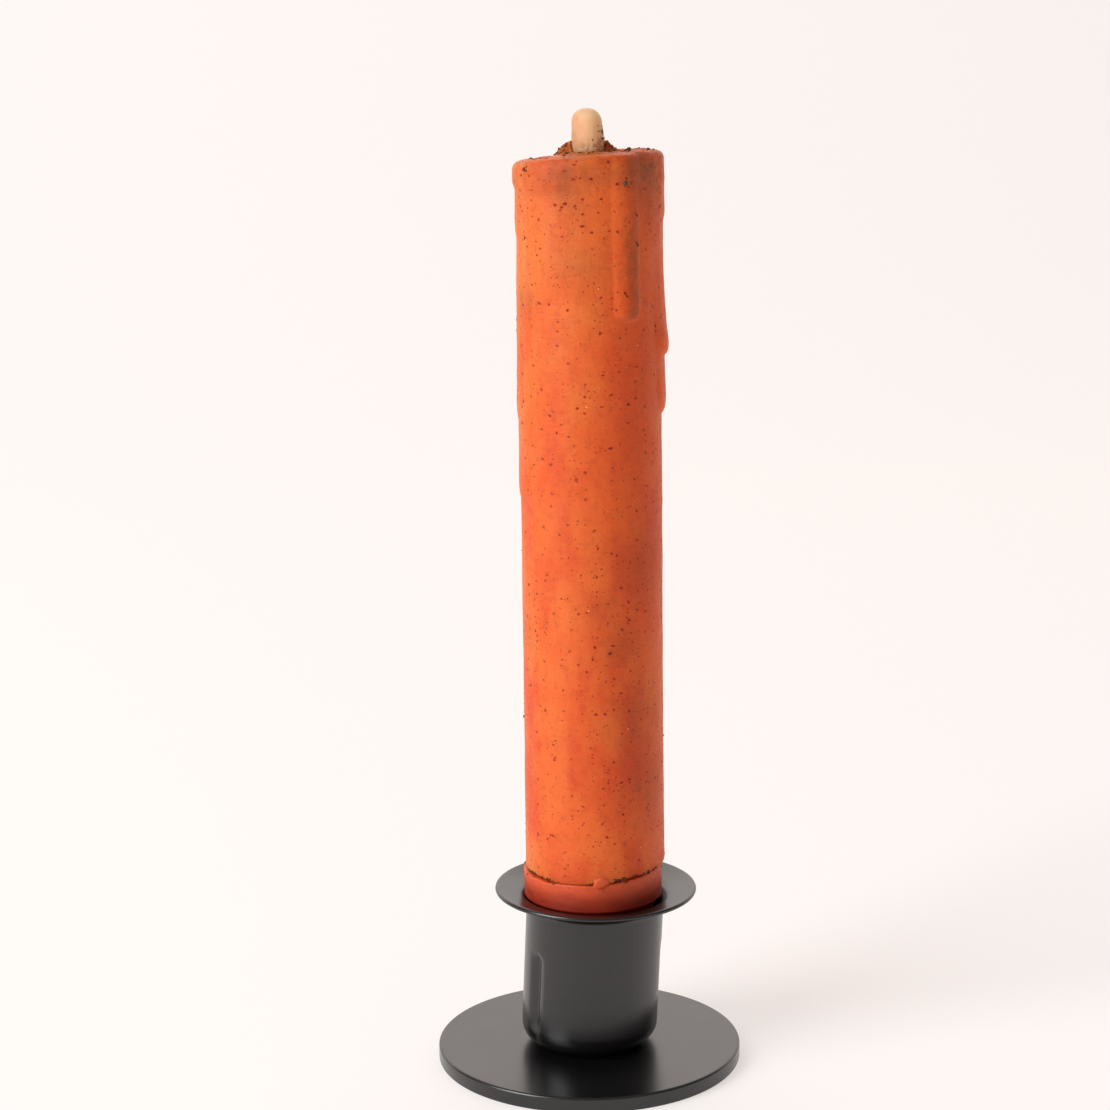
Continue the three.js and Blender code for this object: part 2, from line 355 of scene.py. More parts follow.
class Shader:
    """A material's nodes: one method adds any node, and the rest are patterns made of it."""

    def __init__(self, name: str) -> None:
        """Starts a material with a Principled shader and the place on the piece in mm.

        Args:
            name: Name of the material.
        """
        self.material = bpy.data.materials.new(name)
        self.material.use_nodes = True
        self.tree = self.material.node_tree
        self.tree.nodes.clear()
        self.surface = self.node("ShaderNodeBsdfPrincipled")
        self.node("ShaderNodeOutputMaterial", {}, {0: self.surface.outputs[0]})
        place = self.node("ShaderNodeTexCoord").outputs["Object"]
        self.place = self.vector("MULTIPLY", place, (1 / MM,) * 3)
        axes = self.node("ShaderNodeSeparateXYZ", {}, {0: self.place}).outputs
        self.x, self.z = Num(self, axes["X"]), Num(self, axes["Z"])

    def node(
        self,
        kind: str,
        settings: dict[str, Any] | None = None,
        inputs: dict[str | int, Any] | None = None,
    ) -> bpy.types.Node:
        """Adds a node.

        Args:
            kind: The node's type, such as ShaderNodeMath.
            settings: Its properties, set first.
            inputs: Values or links of its sockets, by name or index.

        Returns:
            The node.
        """
        made = self.tree.nodes.new(kind)
        for name, value in (settings or {}).items():
            setattr(made, name, value)
        for key, value in (inputs or {}).items():
            source = value.socket if isinstance(value, Num) else value
            if isinstance(source, bpy.types.NodeSocket):
                self.tree.links.new(source, made.inputs[key])
            else:
                made.inputs[key].default_value = source
        return made

    def vector(self, operation: str, first: Any, second: Any) -> bpy.types.NodeSocket:
        """Adds a Vector Math node and gives its vector output."""
        made = self.node("ShaderNodeVectorMath", {"operation": operation}, {0: first, 1: second})
        return made.outputs[0]

    def mark(self, name: str) -> Num:
        """One of the numbers that the mesh carries at each point."""
        made = self.node("ShaderNodeAttribute", {"attribute_name": name})
        return Num(self, made.outputs["Fac"])

    def mix(self, share: Any, first: Any, second: Any) -> bpy.types.NodeSocket:
        """Colour between first, at a share of 0, and second, at 1."""
        made = self.node("ShaderNodeMix", {"data_type": "RGBA"}, {0: share, 6: first, 7: second})
        return made.outputs[2]

    def noise(self, size: float, detail: float = 2.0, place: Any = None, rough: float = 0.5) -> Num:
        """Noise around 0.5 with features of about a size in millimetres."""
        made = self.node(
            "ShaderNodeTexNoise",
            {},
            {
                "Vector": place or self.place,
                "Scale": 1.0 / size,
                "Detail": detail,
                "Roughness": rough,
            },
        )
        return Num(self, made.outputs[0])

    def jittered(self, size: float, distance: float) -> bpy.types.NodeSocket:
        """The place on the piece, moved about by up to half a distance, for ragged outlines."""
        made = self.node("ShaderNodeTexNoise", {}, {"Vector": self.place, "Scale": 1.0 / size})
        offset = self.vector("SUBTRACT", made.outputs[1], (0.5, 0.5, 0.5))
        return self.vector("ADD", self.place, self.vector("MULTIPLY", offset, (distance,) * 3))

    def specks(self, place: Any, spacing: float, radius: float, amount: float) -> Num:
        """Scattered spots: 1 inside a spot and 0 outside, with a soft edge.

        Each cell of a Voronoi pattern draws a random number. A cell whose number is under
        the amount holds a spot, and the number also sets how large that spot is.

        Args:
            place: Coordinates in millimetres.
            spacing: Size of a cell.
            radius: Radius of the largest spots.
            amount: Share of the cells that hold one.

        Returns:
            The spots' mask.
        """
        made = self.node("ShaderNodeTexVoronoi", {}, {"Vector": place, "Scale": 1.0 / spacing})
        distance = Num(self, made.outputs["Distance"]) * spacing
        draw = Num(self, self.node("ShaderNodeSeparateColor", {}, {0: made.outputs["Color"]}).outputs[0])
        reach = draw.ease(0.0, amount, radius, 0.0)
        return 1.0 - distance.ease(reach * 0.55, reach + 0.001)

    def bump(self, height: Num, strength: float = 1.0) -> None:
        """Feeds the surface's normal from a height in millimetres."""
        made = self.node(
            "ShaderNodeBump", {}, {"Strength": strength, "Distance": MM, "Height": height}
        )
        self.set("Normal", made.outputs[0])

    def set(self, socket: str, value: Any) -> None:
        """Gives one of the surface's sockets a value or a link."""
        source = value.socket if isinstance(value, Num) else value
        if isinstance(source, bpy.types.NodeSocket):
            self.tree.links.new(source, self.surface.inputs[socket])
        else:
            self.surface.inputs[socket].default_value = source


# ---- Finishes ---------------------------------------------------------------------------


@dataclass(frozen=True)
class BodyWax:
    """Mottled orange wax, stained brown, with specks. Its far left is painted darker and duller as
    painted shade, its lit front left is painted ochre as painted light, and its glints are painted
    highlights.
    """

    ochre: Colour = rgb(0.74, 0.185, 0.032)
    bright: Colour = rgb(0.79, 0.130, 0.017)
    plain: Colour = rgb(0.75, 0.098, 0.012)
    deep: Colour = rgb(0.66, 0.062, 0.009)
    smoke: Colour = rgb(0.24, 0.062, 0.012)
    painted_flank_shade: Colour = rgb(0.50, 0.150, 0.024)
    speck: Colour = rgb(0.300, 0.012, 0.000)
    painted_glint: Colour = rgb(1.0, 0.50, 0.26)
    painted_shade_span: tuple[float, float] = (-11.8, -9.4)

    def build(self) -> bpy.types.Material:
        """Makes the material.

        Returns:
            The finished material.
        """
        s = Shader("body_wax")
        level = s.vector("MULTIPLY", s.place, (0.3, 0.3, 3.5))
        streaks = s.noise(0.9, 3.0, level, 0.6)
        mottle = s.noise(12.0, 4.0)
        colour = s.mix(mottle.ease(0.36, 0.66), self.plain, self.bright)
        # Painted light: the fade mark tints the lit front left ochre, most near the top.
        lit_side_ochre = s.mark("fade") * s.noise(9.0, 3.0).ease(0.32, 0.62, 0.5, 1.0)
        colour = s.mix(lit_side_ochre, colour, self.ochre)
        low = s.z.ease(40.0, 150.0, 0.55, 0.0)
        upright = s.vector("MULTIPLY", s.place, (1.0, 1.0, 0.5))
        blush = s.noise(8.0, 4.0, upright).ease(0.42, 0.66) * (0.30 + low)
        fine = s.noise(1.5, 4.0, None, 0.65)
        blush = blush + (streaks - 0.5) * 0.5 + (fine - 0.5) * 0.9
        colour = s.mix(blush.least(1.0).most(0.0), colour, self.deep)
        colour = s.mix(fine.ease(0.50, 0.72, 0.0, 0.16), colour, self.smoke)
        # Painted shade: the far left edge is mixed towards a darker, duller colour.
        flank_shade = s.x.ease(*self.painted_shade_span, 0.65, 0.0)
        colour = s.mix(flank_shade, colour, self.painted_flank_shade)
        smudge = s.mark("stain") * (0.70 + s.noise(1.6, 4.0).ease(0.3, 0.7, 0.0, 0.6))
        colour = s.mix(smudge.least(0.9), colour, self.smoke)

        ragged = s.vector("MULTIPLY", s.jittered(0.45, 0.60), (1.0, 1.0, 1.35))
        crowd = (s.noise(6.0, 2.0).ease(0.42, 0.62, 0.30, 0.8) + s.mark("grime")).least(1.0)
        grains = s.specks(ragged, 1.40, 0.40, 0.75) * (0.45 + crowd * 0.55)
        dots = s.specks(ragged, 0.85, 0.27, 0.70) * crowd
        dust = s.specks(ragged, 0.52, 0.15, 0.65) * crowd
        colour = s.mix(dust * 0.34, colour, self.speck)
        colour = s.mix(dots * 0.72, colour, self.speck)
        colour = s.mix(grains * 0.95, colour, self.speck)
        # Painted highlights: sparse pale glints mixed into the colour, where the wax is also smoother
        # and raised.
        glints = s.specks(s.vector("ADD", s.place, (50.0, 20.0, 9.0)), 2.1, 0.17, 0.25)
        colour = s.mix(glints * 0.7, colour, self.painted_glint)
        s.set("Base Color", colour)

        height = s.noise(1.8, 3.0) * 0.18 + streaks * 0.07 + s.noise(0.45, 2.0) * 0.10
        s.bump(height + grains * 0.07 + dots * 0.03 + glints * 0.03, 0.9)
        grain = s.noise(0.5, 3.0, None, 0.7).ease(0.30, 0.70)
        s.set("Roughness", 0.40 + grain * 0.24 - glints * 0.2)
        s.set("IOR", 1.36)
        s.set("Subsurface Weight", 0.65)
        s.set("Subsurface Radius", (1.0, 0.22, 0.10))
        s.set("Subsurface Scale", 5.0 * MM)
        return s.material


@dataclass(frozen=True)
class FootWax:
    """Smoother wax of the length below the seam, darker red the deeper it stands in the cup: partly its
    own deeper red, partly painted shade.
    """

    plain: Colour = rgb(0.72, 0.092, 0.020)
    deep: Colour = rgb(0.30, 0.017, 0.005)
    speck: Colour = rgb(0.05, 0.010, 0.006)
    flare_height: float = 29.2
    light_height: float = 34.5

    def build(self) -> bpy.types.Material:
        """Makes the material.

        Returns:
            The finished material.
        """
        s = Shader("foot_wax")
        level = s.vector("MULTIPLY", s.place, (1.0, 1.0, 2.4))
        mottle = s.noise(3.2, 3.0, level)
        # Darker towards the cup: partly the wax's own deeper red, partly painted shade under the flange.
        tone_and_shade = s.z.ease(self.flare_height, self.light_height, 1.0, 0.0)
        colour = s.mix((tone_and_shade + (mottle - 0.5) * 0.7).least(1.0).most(0.0), self.plain, self.deep)
        dots = s.specks(s.jittered(0.4, 0.3), 1.3, 0.18, 0.4)
        colour = s.mix(dots * 0.6, colour, self.speck)
        s.set("Base Color", colour)
        s.bump(s.noise(2.2, 3.0, level) * 0.07 + s.noise(0.4) * 0.01 + dots * 0.02, 0.8)
        s.set("Roughness", 0.46 + mottle * 0.1)
        s.set("IOR", 1.44)
        s.set("Subsurface Weight", 0.45)
        s.set("Subsurface Radius", (1.0, 0.22, 0.10))
        s.set("Subsurface Scale", 3.0 * MM)
        return s.material


@dataclass(frozen=True)
class WickWax:
    """Pale wax over the wick's cord, browner at its root, with its right side painted paler: painted
    light on the side in shade.
    """

    plain: Colour = rgb(0.60, 0.31, 0.155)
    warm: Colour = rgb(0.53, 0.24, 0.100)
    painted_light: Colour = rgb(1.00, 0.64, 0.36)
    stain: Colour = rgb(0.26, 0.11, 0.05)
    base_height: float = 155.5
    painted_light_span: tuple[float, float] = (-1.6, 2.2)

    def build(self) -> bpy.types.Material:
        """Makes the material.

        Returns:
            The finished material.
        """
        s = Shader("wick_wax")
        drawn_out = s.vector("MULTIPLY", s.place, (1.0, 1.0, 0.5))
        streaks = s.noise(0.8, 5.0, drawn_out, 0.6)
        colour = s.mix(streaks.ease(0.40, 0.72), self.plain, self.warm)
        # Painted light: the wick's right side, which is in shade, is mixed towards a paler colour.
        colour = s.mix(s.x.ease(*self.painted_light_span, 0.0, 0.95), colour, self.painted_light)
        stained = s.z.ease(self.base_height, self.base_height + 2.4, 0.8, 0.0)
        colour = s.mix(stained * s.noise(0.7, 3.0).ease(0.35, 0.6), colour, self.warm)
        dots = s.specks(s.jittered(0.3, 0.3), 0.9, 0.17, 0.35)
        colour = s.mix(dots * 0.6, colour, self.stain)
        s.set("Base Color", colour)
        s.bump(streaks * 0.10 + s.noise(0.3, 2.0) * 0.012 + dots * 0.02)
        s.set("Roughness", 0.58 + streaks * 0.1)
        s.set("Subsurface Weight", 1.0)
        s.set("Subsurface Radius", (1.0, 0.85, 0.70))
        s.set("Subsurface Scale", 4.0 * MM)
        return s.material


@dataclass(frozen=True)
class Grit:
    """Crumbs of charred wick and dirt stuck in the wax."""

    name: str = "grit"
    dark: Colour = rgb(0.090, 0.028, 0.012)
    brown: Colour = rgb(0.230, 0.075, 0.026)
    olive: Colour = rgb(0.120, 0.080, 0.040)

    def build(self) -> bpy.types.Material:
        """Makes the material.

        Returns:
            The finished material.
        """
        s = Shader(self.name)
        colour = s.mix(s.noise(0.5, 2.0).ease(0.42, 0.6), self.dark, self.brown)
        colour = s.mix(s.noise(5.0, 1.0).ease(0.56, 0.64), colour, self.olive)
        s.set("Base Color", colour)
        s.bump(s.noise(0.12, 2.0) * 0.03)
        s.set("Roughness", 0.72 + s.noise(0.4) * 0.1)
        s.set("IOR", 1.22)
        return s.material


RUST = Grit("rust", rgb(0.260, 0.018, 0.002), rgb(0.420, 0.045, 0.004), rgb(0.160, 0.045, 0.012))


@dataclass(frozen=True)
class BlackPaint:
    """Satin black paint on steel, with a faint orange-peel skin and a little dust."""

    paint: Colour = rgb(0.0050, 0.0045, 0.0045)
    dust: Colour = rgb(0.16, 0.14, 0.12)
    roughness: float = 0.22

    def build(self) -> bpy.types.Material:
        """Makes the material.

        Returns:
            The finished material.
        """
        s = Shader("black_paint")
        film = s.noise(7.0, 4.0)
        motes = s.specks(s.jittered(0.3, 0.2), 2.6, 0.08, 0.25)
        s.set("Base Color", s.mix(motes * 0.5, self.paint, self.dust))
        s.set("Roughness", self.roughness + film * 0.07 + motes * 0.3)
        s.bump(s.noise(0.9, 2.0) * 0.006 + s.noise(0.25, 1.0) * 0.001 + motes * 0.01, 0.8)
        s.set("IOR", 1.62)
        return s.material


@dataclass(frozen=True)
class Paper:
    """Pale seamless paper under and behind the object, with a faint glow of its own."""

    colour: Colour = rgb(0.48, 0.46, 0.445)
    low_glow: Colour = rgb(0.575, 0.540, 0.525)
    high_glow: Colour = rgb(1.30, 1.16, 1.11)
    fade: tuple[float, float] = (215.0, 560.0)

    def build(self) -> bpy.types.Material:
        """Makes the material.

        Returns:
            The finished material.
        """
        s = Shader("seamless_paper")
        s.set("Base Color", self.colour)
        s.set("Roughness", 0.9)
        s.set("Specular IOR Level", 0.0)
        s.set("Emission Color", s.mix(s.z.ease(*self.fade), self.low_glow, self.high_glow))
        s.set("Emission Strength", 1.0)
        return s.material


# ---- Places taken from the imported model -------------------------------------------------


@dataclass(frozen=True)
class Extent:
    """The box of one CAD node, in millimetres."""

    low: np.ndarray
    high: np.ndarray

    @classmethod
    def of(cls, node: str) -> "Extent":
        """Reads a node's box.

        Args:
            node: Name of the CAD node.

        Returns:
            Its extent.
        """
        low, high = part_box(node)
        return cls(np.array(low) / MM, np.array(high) / MM)

    @property
    def radius(self) -> float:
        """Half of the width along Y, which no lean along X changes."""
        return float(self.high[1] - self.low[1]) / 2.0

    @property
    def centre_x(self) -> float:
        """Middle of the width along X."""
        return float(self.high[0] + self.low[0]) / 2.0


def settle(
    piece: bpy.types.Object, material: bpy.types.Material, node: str | None = None
) -> bpy.types.Object:
    """Dresses a finished piece and makes it ride with the object.

    Args:
        piece: The piece, in place in its mesh.
        material: Its one material.
        node: The CAD node that it stands for, if it stands for one.

    Returns:
        The piece.
    """
    piece.data.materials.append(material)
    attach(piece, "root")
    if node is not None:
        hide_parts(node)
    return piece


# ---- Holder -----------------------------------------------------------------------------


@dataclass
class Holder:
    """The black steel holder: base disc, drawn cup and the rivet that joins them."""

    disc: Extent
    cup: Extent
    rivet: Extent
    sheet: float = 0.8
    cup_radius: float = 11.8
    corner: float = 4.0
    throat: float = 3.0
    flange_slope: float = 14.0
    disc_edge: float = 0.45
    lower_edge: float = 0.2
    hole: float = 1.65
    sink: float = 3.15
    sink_depth: float = 1.2
    shank: float = 1.5
    groove_azimuths: tuple[float, ...] = (-55.0, 88.0, 198.0)
    groove_span: tuple[float, float] = (3.6, 21.0)
    groove_half_width: float = 2.2
    groove_depths: tuple[float, ...] = (0.74, 0.74, 0.42)
    flange_drop: tuple[float, float] = (-0.009, 0.010)
    columns: int = 256

    def build(self) -> list[bpy.types.Object]:
        """Makes the three pieces and paints them.

        Returns:
            The disc, the cup and the rivet.
        """
        paint = BlackPaint().build()
        return [
            settle(self.make_disc(), paint, "base_disc"),
            settle(self.make_cup(), paint, "holder_cup"),
            settle(self.make_rivet(), paint, "cup_rivet"),
        ]

    def make_disc(self) -> bpy.types.Object:
        """Turns the disc: flat underside, rounded rim, flat top, countersunk hole."""
        radius, top = self.disc.radius, float(self.disc.high[2])
        edge, lower = self.disc_edge, self.lower_edge
        profile = section(
            line((self.sink, 0.0), (radius - lower, 0.0), 16),
            arc((radius - lower, lower), lower, -90.0, 0.0, 4),
            arc((radius - edge, top - edge), edge, 0.0, 90.0, 10),
            line((radius - edge, top), (self.hole, top), 48),
            line((self.hole, top), (self.hole, self.sink_depth), 4),
            line((self.hole, self.sink_depth), (self.sink, 0.0), 3)[:-1],
        )
        return Surface(revolve(profile, around(self.columns)), Ends.RING).to_object("disc_skin")

    def cup_profile(self) -> np.ndarray:
        """Section of the drawn cup, one sheet thick.

        It runs from the rivet hole under the floor, up the outside of the wall, out under
        the flange, round its edge, and back along the inside.

        Returns:
            Rows of radius and height.
        """
        floor, rim = float(self.cup.low[2]), float(self.cup.high[2])
        sheet, inner = self.sheet, self.cup_radius - self.sheet
        slope = math.radians(self.flange_slope)
        edge = (self.cup.radius - sheet / 2.0, rim - sheet / 2.0)
        middle = self.throat - sheet / 2.0
        flare_x = inner + self.throat
        straight = edge[0] - (flare_x - middle * math.sin(slope))
        flare = (flare_x, edge[1] - middle * math.cos(slope) - straight * math.tan(slope))
        flare_end = 90.0 + self.flange_slope
        corner = (self.cup_radius - self.corner, floor + self.corner)
        outside = arc(corner, self.corner, -90.0, 0.0, 14)
        under = arc(flare, self.throat - sheet, 180.0, flare_end, 14)
        rolled = arc(edge, sheet / 2.0, self.flange_slope - 90.0, flare_end, 12)
        over = arc(flare, self.throat, flare_end, 180.0, 18)
        inside = arc(corner, self.corner - sheet, 0.0, -90.0, 10)
        return section(
            line((self.hole, floor), tuple(outside[0]), 10),
            outside,
            line(tuple(outside[-1]), tuple(under[0]), 70),
            under,
            line(tuple(under[-1]), tuple(rolled[0]), 12),
            rolled,
            line(tuple(rolled[-1]), tuple(over[0]), 14),
            over,
            line(tuple(over[-1]), tuple(inside[0]), 60),
            inside,
            line(tuple(inside[-1]), (self.hole, floor + sheet), 8),
        )

    def groove_pressed_in(self, points: np.ndarray) -> np.ndarray:
        """How far the wall is pressed in at each point.

        Across a groove the depth is one minus the distance over the half width, to the power
        of 1.4: a soft V. Along it, it eases in over a width below and out over half of one.

        Args:
            points: Columns by rows by x, y, z.

        Returns:
            Depths in millimetres.
        """
        azimuth = np.arctan2(points[..., 0], -points[..., 1])
        radius = np.hypot(points[..., 0], points[..., 1])
        low, high = self.groove_span
        width = self.groove_half_width
        height = points[..., 2]
        along = ease(height, low, low + 2.0 * width) * (1 - ease(height, high - width, high))
        depth = np.zeros(radius.shape)
        for degrees, deepest in zip(self.groove_azimuths, self.groove_depths):
            across = np.abs(turn_between(azimuth, math.radians(degrees))) * radius
            depth += deepest * along * np.clip(1.0 - across / width, 0.0, 1.0) ** 1.4
        return depth * (radius > self.cup_radius - 2.0 * self.sheet)

    def make_cup(self) -> bpy.types.Object:
        """Turns the cup, presses its grooves, leans it to +X and dips its flange a little."""
        points = revolve(self.cup_profile(), around(self.columns)).copy()
        radius = np.hypot(points[..., 0], points[..., 1])
        points[..., :2] *= (1.0 - self.groove_pressed_in(points) / radius)[..., None]
        floor, rim = float(self.cup.low[2]), float(self.cup.high[2])
        share = (points[..., 2] - floor) / (rim - floor)
        points[..., 0] += self.cup.centre_x * share
        points[..., 2] += points[..., :2] @ np.array(self.flange_drop) * share**2
        return Surface(points, Ends.RING).to_object("cup_skin")

    def make_rivet(self) -> bpy.types.Object:
        """Turns the rivet: countersunk end, shank and low domed head."""
        low, high = float(self.rivet.low[2]), float(self.rivet.high[2])
        head, seat = self.rivet.radius, float(self.disc.high[2]) + self.sheet
        share = low / self.sink_depth
        end = head * (1.0 - share) + self.shank * share
        dome = arc((0.0, 0.0), 1.0, 0.0, 90.0, 10) * np.array([head, high - seat]) + [0.0, seat]
        profile = section(
            line((0.0, low), (end, low), 4),
            line((end, low), (self.shank, self.sink_depth), 3),
            line((self.shank, self.sink_depth), (self.shank, seat), 3),
            line((self.shank, seat), (head, seat), 3),
            dome,
        )
        return Surface(revolve(profile, around(48)), Ends.POLES).to_object("rivet_skin")


# ---- Candle -----------------------------------------------------------------------------


@dataclass(frozen=True)
class Run:
    """Wax that ran down the side and set, with a bead at its end.

    Azimuth is in degrees and the rest in millimetres, apart from film, which is the share
    of the thickness that is left on the wall above the bead.
    """

    azimuth: float
    half_width: float
    end: float
    thickness: float
    film: float
    bead: float
    wander: float = 0.2
    crispness: float = 0.6

    def across(self, azimuth: np.ndarray, height: np.ndarray, radius: float) -> np.ndarray:
        """Distance from the run's swaying middle line, as a share of its half width."""
        sway = self.wander * np.sin(height / 4.7 + self.azimuth) / radius
        turn = turn_between(azimuth, math.radians(self.azimuth) + sway)
        return turn * radius / self.half_width

    def inside(self, azimuth: np.ndarray, height: np.ndarray, radius: float) -> np.ndarray:
        """One on the run's middle line, falling to nothing at its sides and its blunt end.

        Args:
            azimuth: Azimuth of each point.
            height: Height of each point.
            radius: Radius of the wall.

        Returns:
            One minus the square of the distance across and the cube of that past the end.
        """
        below = np.clip((self.end + self.half_width - height) / self.half_width, 0.0, None)
        across = self.across(azimuth, height, radius)
        return np.clip(1.0 - across**2 - below**3, 0.0, None)

    def on(self, azimuth: np.ndarray, height: np.ndarray, radius: float) -> np.ndarray:
        """Thickness of the run at each point of the wall.

        The thickness falls off exponentially from the bead to the film above, and follows
        the inside share to the power of the crispness towards the run's outline.

        Args:
            azimuth: Azimuth of each point.
            height: Height of each point.
            radius: Radius of the wall.

        Returns:
            Thickness in millimetres.
        """
        fall = np.exp(-np.clip(height - self.end, 0.0, None) / self.bead)
        share = self.film + (1.0 - self.film) * fall
        return self.thickness * share * self.inside(azimuth, height, radius) ** self.crispness


FRONT_RUN = Run(30.2, 2.55, 128.0, 0.80, 0.40, 15.0, 0.12, 0.9)
RUNS = (
    FRONT_RUN,
    Run(-42.0, 5.0, 131.0, 0.30, 0.85, 14.0, 0.3, 1.0),
    Run(84.0, 4.2, 121.9, 1.10, 0.10, 6.0),
    Run(92.0, 5.0, 112.2, 0.95, 0.20, 12.0),
    Run(84.0, 3.2, 143.6, 0.28, 0.80, 8.0),
    Run(64.0, 2.6, 138.5, 0.20, 0.80, 8.0, 0.2, 1.0),
    Run(-78.0, 4.6, 141.5, 0.28, 0.60, 8.0),
    Run(-98.0, 6.0, 111.5, 0.42, 0.20, 14.0),
    Run(-86.0, 6.0, 98.4, 0.34, 0.50, 20.0),
    Run(130.0, 2.6, 119.0, 0.70, 0.60, 10.0),
    Run(158.0, 3.2, 137.0, 0.45, 0.60, 10.0),
    Run(187.0, 2.4, 106.0, 0.70, 0.55, 12.0),
    Run(215.0, 4.0, 128.0, 0.50, 0.50, 12.0),
    Run(243.0, 2.8, 139.0, 0.50, 0.60, 10.0),
)


@dataclass(frozen=True)
class Patch:
    """A soft spot on the wall: azimuth in degrees, height and size in millimetres."""

    azimuth: float
    height: float
    size: float
    strength: float

    def on(self, azimuth: np.ndarray, height: np.ndarray, radius: float) -> np.ndarray:
        """A bell curve of the distance from the spot's middle.

        Args:
            azimuth: Azimuth of each point.
            height: Height of each point.
            radius: Radius of the wall.

        Returns:
            The strength in the middle, falling to nothing within about twice the size.
        """
        across = turn_between(azimuth, math.radians(self.azimuth)) * radius
        return self.strength * np.exp(-(across**2 + (height - self.height) ** 2) / self.size**2)


STAINS = (
    Patch(-21.0, 151.0, 3.2, 0.35),
    Patch(-10.0, 146.5, 2.6, 0.22),
    Patch(49.0, 151.0, 3.6, 0.40),
    Patch(62.0, 146.0, 4.0, 0.25),
    Patch(-12.0, 137.0, 4.0, 0.20),
    Patch(-66.0, 131.0, 3.0, 0.25),
    Patch(21.0, 75.0, 4.0, 0.28),
    Patch(8.0, 81.0, 3.0, 0.18),
    Patch(34.0, 62.0, 6.0, 0.24),
    Patch(48.0, 50.0, 6.5, 0.26),
    Patch(40.0, 88.0, 6.0, 0.22),
    Patch(-70.0, 76.0, 3.0, 0.22),
    Patch(120.0, 90.0, 6.0, 0.20),
    Patch(170.0, 140.0, 5.0, 0.22),
    Patch(205.0, 60.0, 6.0, 0.18),
)


GRIME = (
    Patch(-46.0, 138.0, 15.0, 0.7),
    Patch(-64.0, 118.0, 9.0, 0.8),
    Patch(-15.0, 150.0, 6.0, 0.8),
    Patch(50.0, 149.0, 6.0, 0.7),
    Patch(12.0, 84.0, 6.0, 0.7),
    Patch(18.0, 76.0, 5.0, 0.9),
    Patch(40.0, 60.0, 9.0, 0.7),
    Patch(46.0, 44.0, 8.0, 0.7),
    Patch(-12.0, 62.0, 5.0, 0.5),
    Patch(-66.0, 76.0, 6.0, 0.8),
    Patch(60.0, 106.0, 8.0, 0.5),
    Patch(5.0, 46.0, 8.0, 0.4),
)


@dataclass(frozen=True)
class Seam:
    """The crack between body and foot: a tilted, waving line whose width comes and goes."""

    noise: Noise
    lift: float = 0.20
    rise_right: float = 0.58
    rise_back: float = 0.60
    closed: float = 0.05
    fade: float = 4.5
    gaps: tuple[tuple[float, float, float], ...] = (
        (-64.0, 11.0, 0.42),
        (-44.0, 8.0, 0.36),
        (-4.0, 5.0, 0.28),
        (17.0, 4.0, 0.30),
        (33.0, 12.0, 0.42),
        (58.0, 5.0, 0.22),
        (105.0, 22.0, 0.30),
        (165.0, 16.0, 0.22),
        (220.0, 25.0, 0.28),
    )

    def gap(self, azimuth: np.ndarray) -> np.ndarray:
        """Width of the crack: a sum of bell curves of the azimuth, over the least width.

        Args:
            azimuth: Azimuth of each point.

        Returns:
            Width in millimetres.
        """
        width = np.full(azimuth.shape, self.closed)
        for degrees, spread, extra in self.gaps:
            turn = np.degrees(turn_between(azimuth, math.radians(degrees)))
            width += extra * np.exp(-((turn / spread) ** 2))
        return width

    def shift(self, azimuth: np.ndarray, flat_gap: float, side: float) -> np.ndarray:
        """How far an edge moves from the flat seam to the crack.

        The crack's middle line rises to the right and the back, and waves.

        Args:
            azimuth: Azimuth of each point.
            flat_gap: Width of the flat seam.
            side: 1 for the body's edge, above the crack, and -1 for the foot's.

        Returns:
            Distance upwards in millimetres.
        """
        ring = 11.8 * np.stack([np.sin(azimuth), np.cos(azimuth), 0.0 * azimuth], axis=-1)
        middle = self.rise_right * np.sin(azimuth) - self.rise_back * np.cos(azimuth)
        waves = 0.20 * self.noise.layered(ring + 70.0, 4.0) + 0.10 * self.noise.layered(ring, 0.9)
        return self.lift + middle + waves + side * (self.gap(azimuth) - flat_gap) / 2.0


